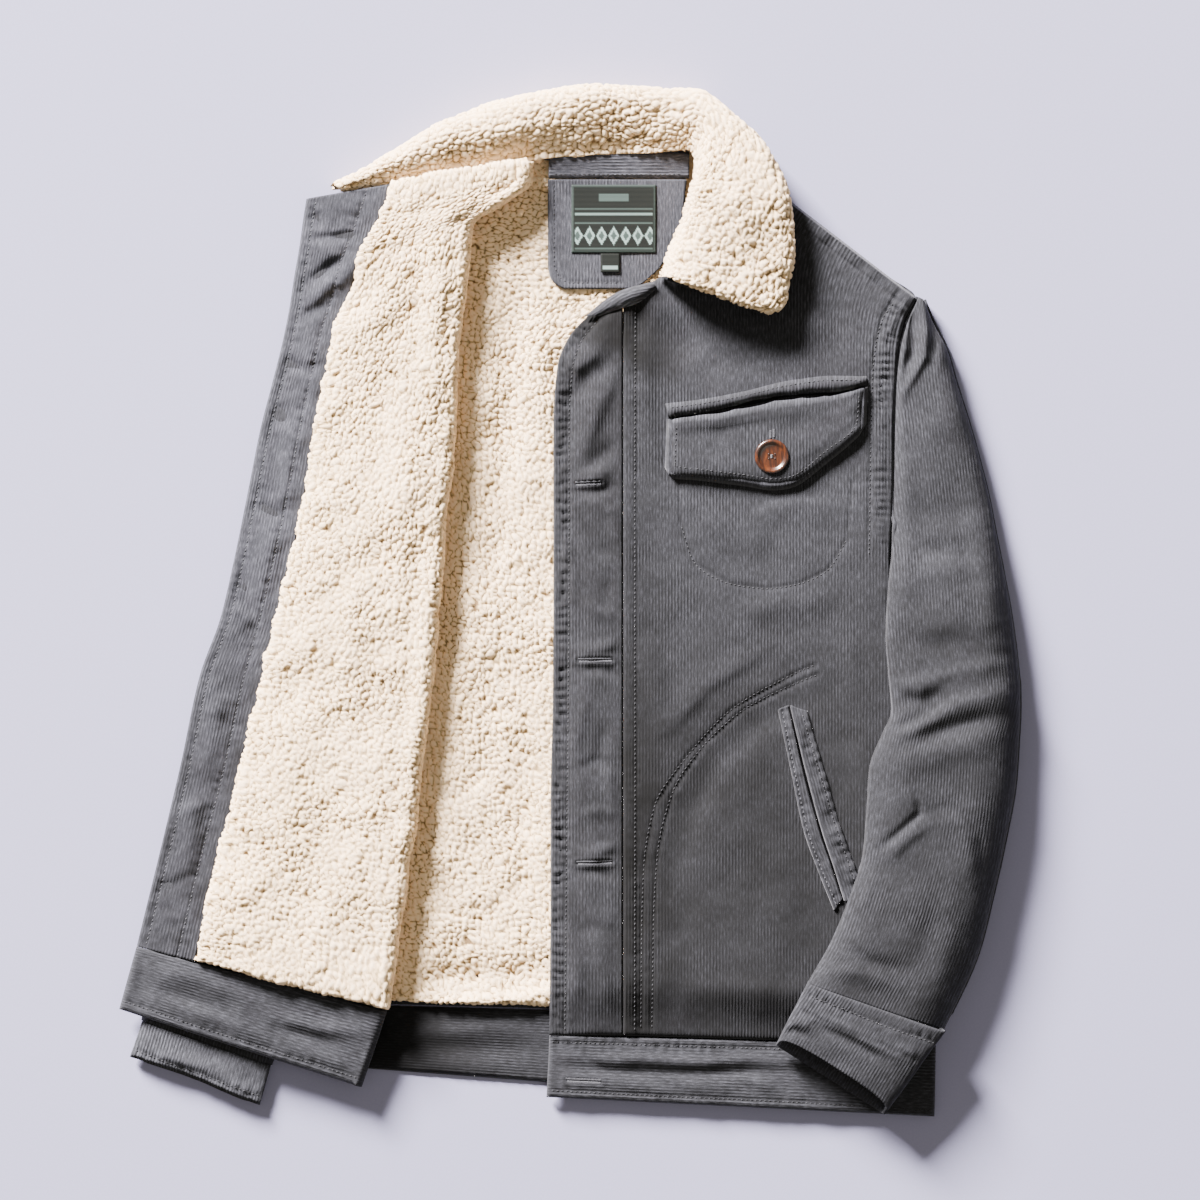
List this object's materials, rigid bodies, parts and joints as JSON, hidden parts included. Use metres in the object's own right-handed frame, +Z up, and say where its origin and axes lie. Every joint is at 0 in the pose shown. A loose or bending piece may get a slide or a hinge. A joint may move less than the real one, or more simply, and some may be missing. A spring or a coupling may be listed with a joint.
{
  "type": "sherpa lined jacket",
  "caption": "Corduroy jacket lined with curly sherpa pile, laid flat with one front opened out and rolled, fold-down pile collar, flap chest pocket and slanted hand pocket.",
  "frame": {"origin": "centre of the bounding box in plan, on the surface that the jacket lies on", "axes": "+Z up from the surface, +Y towards the neck, +X towards the wearer's left sleeve"},
  "size_m": [0.65, 0.7431, 0.038],
  "materials": {
    "corduroy": "matte ribbed pile",
    "facing_corduroy": "matte ribbed pile",
    "sherpa": "curly pile",
    "woven_label": "woven",
    "button": "gloss"
  },
  "bodies": {
    "root": {"back_shell": "corduroy", "back_lining": "sherpa", "waistband_back": "corduroy", "front_left_lining": "sherpa", "front_left_shell": "corduroy", "placket_left": "corduroy", "waistband_left": "corduroy", "neckline_binding": "corduroy", "chest_pocket_welt": "corduroy", "chest_pocket_flap": "corduroy", "chest_button": "button", "hand_pocket_inner_strip": "corduroy", "hand_pocket_outer_strip": "corduroy", "neck_patch": "corduroy", "neck_tape": "corduroy", "label_main": "woven_label", "label_tab": "woven_label", "sleeve_right_under": "corduroy", "sleeve_right_top": "corduroy", "cuff_right": "corduroy", "front_right_shell": "corduroy", "front_right_lining": "sherpa", "facing_right": "facing_corduroy", "waistband_right": "corduroy", "sleeve_left_under": "corduroy", "sleeve_left_top": "corduroy", "cuff_left": "corduroy", "undercollar": "corduroy", "collar_upper": "sherpa"}
  },
  "joints": []
}
